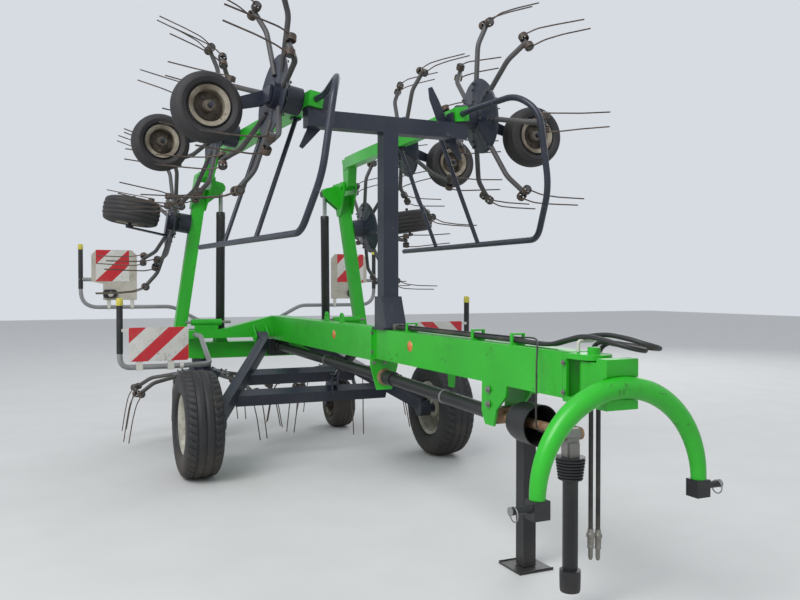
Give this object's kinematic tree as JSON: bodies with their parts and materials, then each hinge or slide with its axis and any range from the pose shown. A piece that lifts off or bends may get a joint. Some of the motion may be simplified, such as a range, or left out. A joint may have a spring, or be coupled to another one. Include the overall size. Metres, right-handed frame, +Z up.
{
  "type": "trailed hay tedder",
  "caption": "Trailed hay tedder on a lowered transport frame, wings folded up and forward onto a post, with tined rotors, small wheels, a drawbar and an arched hitch.",
  "frame": {"origin": "on the ground under the transport axle, on the machine's centre plane", "axes": "+X forward to the hitch, +Y to the machine's left, +Z up"},
  "size_m": [6.3458, 3.2298, 3.2901],
  "materials": {
    "green_paint": "gloss paint, scratched",
    "slate_paint": "satin paint",
    "black_plastic": "matt",
    "black_paint": "satin paint",
    "bare_steel": "dull",
    "galvanised": "zinc grey",
    "hose_rubber": "matt, dusty",
    "board_white": "satin, dirty",
    "tine_steel": "weathered",
    "rim_paint": "cream paint, dirty",
    "tyre_rubber": "dusty rubber"
  },
  "bodies": {
    "frame": {"main_beam_front": "green_paint", "main_beam_rear": "green_paint", "crossmember": "green_paint", "rotor_beam": "green_paint", "rest_post": "slate_paint", "headstock": "green_paint", "pto_line": "black_plastic", "pto_bearings": "bare_steel", "pto_bell": "black_plastic", "centre_gearbox": "black_paint", "centre_wheel_legs": "slate_paint", "board_carriers": "galvanised", "warning_boards": "board_white", "hose_1": "hose_rubber", "hose_2": "hose_rubber", "thin_cord": "hose_rubber", "hose_fittings": "bare_steel"},
    "stand": {"stand_leg": "slate_paint"},
    "hitch": {"hitch_swivel": "green_paint", "hitch_arch": "green_paint", "link_pins": "black_paint"},
    "drive_shaft": {"pto_joint": "bare_steel", "pto_shaft": "black_paint"},
    "chassis": {"transport_chassis": "slate_paint"},
    "chassis_barrel": {"chassis_barrel": "black_paint"},
    "chassis_rod": {"chassis_rod": "bare_steel"},
    "left_road_wheel": {"left_road_tyre": "tyre_rubber", "left_road_rim": "rim_paint"},
    "left_inner_wing": {"left_inner_arm": "green_paint", "left_inner_leg": "slate_paint"},
    "left_outer_wing": {"left_outer_arm": "green_paint", "left_outer_legs": "slate_paint", "left_guard": "slate_paint"},
    "left_lift_barrel": {"left_lift_barrel": "black_paint"},
    "left_lift_rod": {"left_lift_rod": "bare_steel"},
    "left_rotor_1": {"left_rotor_1": "tine_steel"},
    "left_wheel_1": {"left_wheel_1": "tyre_rubber"},
    "left_rotor_2": {"left_rotor_2": "tine_steel"},
    "left_wheel_2": {"left_wheel_2": "tyre_rubber"},
    "left_rotor_3": {"left_rotor_3": "tine_steel"},
    "left_wheel_3": {"left_wheel_3": "tyre_rubber"},
    "left_rotor_4": {"left_rotor_4": "tine_steel"},
    "left_wheel_4": {"left_wheel_4": "tyre_rubber"},
    "right_road_wheel": {"right_road_tyre": "tyre_rubber", "right_road_rim": "rim_paint"},
    "right_inner_wing": {"right_inner_arm": "green_paint", "right_inner_leg": "slate_paint"},
    "right_outer_wing": {"right_outer_arm": "green_paint", "right_outer_legs": "slate_paint", "right_guard": "slate_paint"},
    "right_lift_barrel": {"right_lift_barrel": "black_paint"},
    "right_lift_rod": {"right_lift_rod": "bare_steel"},
    "right_rotor_1": {"right_rotor_1": "tine_steel"},
    "right_wheel_1": {"right_wheel_1": "tyre_rubber"},
    "right_rotor_2": {"right_rotor_2": "tine_steel"},
    "right_wheel_2": {"right_wheel_2": "tyre_rubber"},
    "right_rotor_3": {"right_rotor_3": "tine_steel"},
    "right_wheel_3": {"right_wheel_3": "tyre_rubber"},
    "right_rotor_4": {"right_rotor_4": "tine_steel"},
    "right_wheel_4": {"right_wheel_4": "tyre_rubber"}
  },
  "joints": [
    {"name": "stand_slide", "type": "slide", "parent": "frame", "child": "stand", "axis": [0, 0, 1], "range_m": [0, 0.3]},
    {"name": "hitch_steer", "type": "hinge", "parent": "frame", "child": "hitch", "pos_m": [3.19, 0, 0.99], "axis": [0, 0, 1], "range_deg": [-30, 30]},
    {"name": "drive_shaft_swing", "type": "hinge", "parent": "frame", "child": "drive_shaft", "pos_m": [3.04, 0, 0.742], "axis": [0, 1, 0], "range_deg": [-90, 5]},
    {"name": "chassis_lift", "type": "hinge", "parent": "frame", "child": "chassis", "pos_m": [-1.15, 0, 0.905], "axis": [0, -1, 0], "range_deg": [-10, 8]},
    {"name": "chassis_barrel_swing", "type": "hinge", "parent": "frame", "child": "chassis_barrel", "pos_m": [0.33, 0.17, 0.95], "axis": [0, -1, 0], "range_deg": [-6.57, 8.21]},
    {"name": "chassis_rod_slide", "type": "slide", "parent": "chassis_barrel", "child": "chassis_rod", "axis": [-0.8946, 0, -0.4469], "range_m": [-0.08749, 0.10936]},
    {"name": "left_road_wheel_spin", "type": "hinge", "parent": "chassis", "child": "left_road_wheel", "pos_m": [0, 0.965, 0.38], "axis": [0, 1, 0], "continuous": true},
    {"name": "left_wing_fold", "type": "hinge", "parent": "frame", "child": "left_inner_wing", "pos_m": [-1.45, 0.88, 0.79], "axis": [1, 0, 0], "range_deg": [-98.5, 0]},
    {"name": "left_knee_fold", "type": "hinge", "parent": "left_inner_wing", "child": "left_outer_wing", "pos_m": [-1.26, 0.65607, 2.28836], "axis": [-0.0279, -0.9924, -0.1201], "range_deg": [0, 90.05]},
    {"name": "left_lift_barrel_swing", "type": "hinge", "parent": "frame", "child": "left_lift_barrel", "pos_m": [-1.45, 0.5, 0.905], "axis": [1, 0, 0], "range_deg": [-88.67, 0.01]},
    {"name": "left_lift_rod_slide", "type": "slide", "parent": "left_lift_barrel", "child": "left_lift_rod", "axis": [0, -0.0089, 1], "range_m": [-0.00001, 0.53805]},
    {"name": "left_rotor_1_spin", "type": "hinge", "parent": "frame", "child": "left_rotor_1", "pos_m": [-1.45, 0.665, 0.6], "axis": [0, 0, 1], "continuous": true},
    {"name": "left_wheel_1_spin", "type": "hinge", "parent": "frame", "child": "left_wheel_1", "pos_m": [-1.55, 0.665, 0.2285], "axis": [0, 1, 0], "continuous": true},
    {"name": "left_rotor_2_spin", "type": "hinge", "parent": "left_inner_wing", "child": "left_rotor_2", "pos_m": [-1.45, 0.90311, 1.92084], "axis": [0, -0.989, -0.1478], "continuous": true},
    {"name": "left_wheel_2_spin", "type": "hinge", "parent": "left_inner_wing", "child": "left_wheel_2", "pos_m": [-1.25, 1.27052, 1.97575], "axis": [0, -0.1478, 0.989], "continuous": true},
    {"name": "left_rotor_3_spin", "type": "hinge", "parent": "left_outer_wing", "child": "left_rotor_3", "pos_m": [-0.25095, 0.7604, 2.49606], "axis": [-0.0558, -0.9875, -0.1476], "continuous": true},
    {"name": "left_wheel_3_spin", "type": "hinge", "parent": "left_outer_wing", "child": "left_wheel_3", "pos_m": [-0.22879, 1.17755, 2.38652], "axis": [0.9984, -0.0552, -0.0083], "continuous": true},
    {"name": "left_rotor_4_spin", "type": "hinge", "parent": "left_outer_wing", "child": "left_rotor_4", "pos_m": [1.07697, 0.68697, 2.48509], "axis": [-0.0558, -0.9875, -0.1476], "continuous": true},
    {"name": "left_wheel_4_spin", "type": "hinge", "parent": "left_outer_wing", "child": "left_wheel_4", "pos_m": [1.09913, 1.10412, 2.37554], "axis": [0.9984, -0.0552, -0.0083], "continuous": true},
    {"name": "right_road_wheel_spin", "type": "hinge", "parent": "chassis", "child": "right_road_wheel", "pos_m": [0, -0.965, 0.38], "axis": [0, 1, 0], "continuous": true},
    {"name": "right_wing_fold", "type": "hinge", "parent": "frame", "child": "right_inner_wing", "pos_m": [-1.45, -0.88, 0.79], "axis": [-1, 0, 0], "range_deg": [-98.5, 0]},
    {"name": "right_knee_fold", "type": "hinge", "parent": "right_inner_wing", "child": "right_outer_wing", "pos_m": [-1.26, -0.65607, 2.28836], "axis": [0.0279, -0.9924, 0.1201], "range_deg": [0, 90.05]},
    {"name": "right_lift_barrel_swing", "type": "hinge", "parent": "frame", "child": "right_lift_barrel", "pos_m": [-1.45, -0.5, 0.905], "axis": [-1, 0, 0], "range_deg": [-88.67, 0.01]},
    {"name": "right_lift_rod_slide", "type": "slide", "parent": "right_lift_barrel", "child": "right_lift_rod", "axis": [0, 0.0089, 1], "range_m": [-0.00001, 0.53805]},
    {"name": "right_rotor_1_spin", "type": "hinge", "parent": "frame", "child": "right_rotor_1", "pos_m": [-1.45, -0.665, 0.6], "axis": [0, 0, 1], "continuous": true},
    {"name": "right_wheel_1_spin", "type": "hinge", "parent": "frame", "child": "right_wheel_1", "pos_m": [-1.55, -0.665, 0.2285], "axis": [0, 1, 0], "continuous": true},
    {"name": "right_rotor_2_spin", "type": "hinge", "parent": "right_inner_wing", "child": "right_rotor_2", "pos_m": [-1.45, -0.90311, 1.92084], "axis": [0, 0.989, -0.1478], "continuous": true},
    {"name": "right_wheel_2_spin", "type": "hinge", "parent": "right_inner_wing", "child": "right_wheel_2", "pos_m": [-1.25, -1.27052, 1.97575], "axis": [0, -0.1478, -0.989], "continuous": true},
    {"name": "right_rotor_3_spin", "type": "hinge", "parent": "right_outer_wing", "child": "right_rotor_3", "pos_m": [-0.25095, -0.7604, 2.49606], "axis": [-0.0558, 0.9875, -0.1476], "continuous": true},
    {"name": "right_wheel_3_spin", "type": "hinge", "parent": "right_outer_wing", "child": "right_wheel_3", "pos_m": [-0.22879, -1.17755, 2.38652], "axis": [-0.9984, -0.0552, 0.0083], "continuous": true},
    {"name": "right_rotor_4_spin", "type": "hinge", "parent": "right_outer_wing", "child": "right_rotor_4", "pos_m": [1.07697, -0.68697, 2.48509], "axis": [-0.0558, 0.9875, -0.1476], "continuous": true},
    {"name": "right_wheel_4_spin", "type": "hinge", "parent": "right_outer_wing", "child": "right_wheel_4", "pos_m": [1.09913, -1.10412, 2.37554], "axis": [-0.9984, -0.0552, 0.0083], "continuous": true}
  ],
  "couplings": [
    {"joint": "chassis_barrel_swing", "follows": "chassis_lift", "ratio": -0.82003},
    {"joint": "chassis_rod_slide", "follows": "chassis_lift", "m_per_rad": -0.62652},
    {"joint": "left_lift_barrel_swing", "follows": "left_wing_fold", "ratio": 0.90015},
    {"joint": "left_lift_rod_slide", "follows": "left_wing_fold", "m_per_rad": -0.31297},
    {"joint": "left_rotor_2_spin", "follows": "left_rotor_1_spin", "ratio": -1},
    {"joint": "left_rotor_3_spin", "follows": "left_rotor_1_spin", "ratio": 1},
    {"joint": "left_rotor_4_spin", "follows": "left_rotor_1_spin", "ratio": -1},
    {"joint": "right_lift_barrel_swing", "follows": "right_wing_fold", "ratio": 0.90015},
    {"joint": "right_lift_rod_slide", "follows": "right_wing_fold", "m_per_rad": -0.31297},
    {"joint": "right_rotor_1_spin", "follows": "left_rotor_1_spin", "ratio": -1},
    {"joint": "right_rotor_2_spin", "follows": "left_rotor_1_spin", "ratio": 1},
    {"joint": "right_rotor_3_spin", "follows": "left_rotor_1_spin", "ratio": -1},
    {"joint": "right_rotor_4_spin", "follows": "left_rotor_1_spin", "ratio": 1}
  ]
}
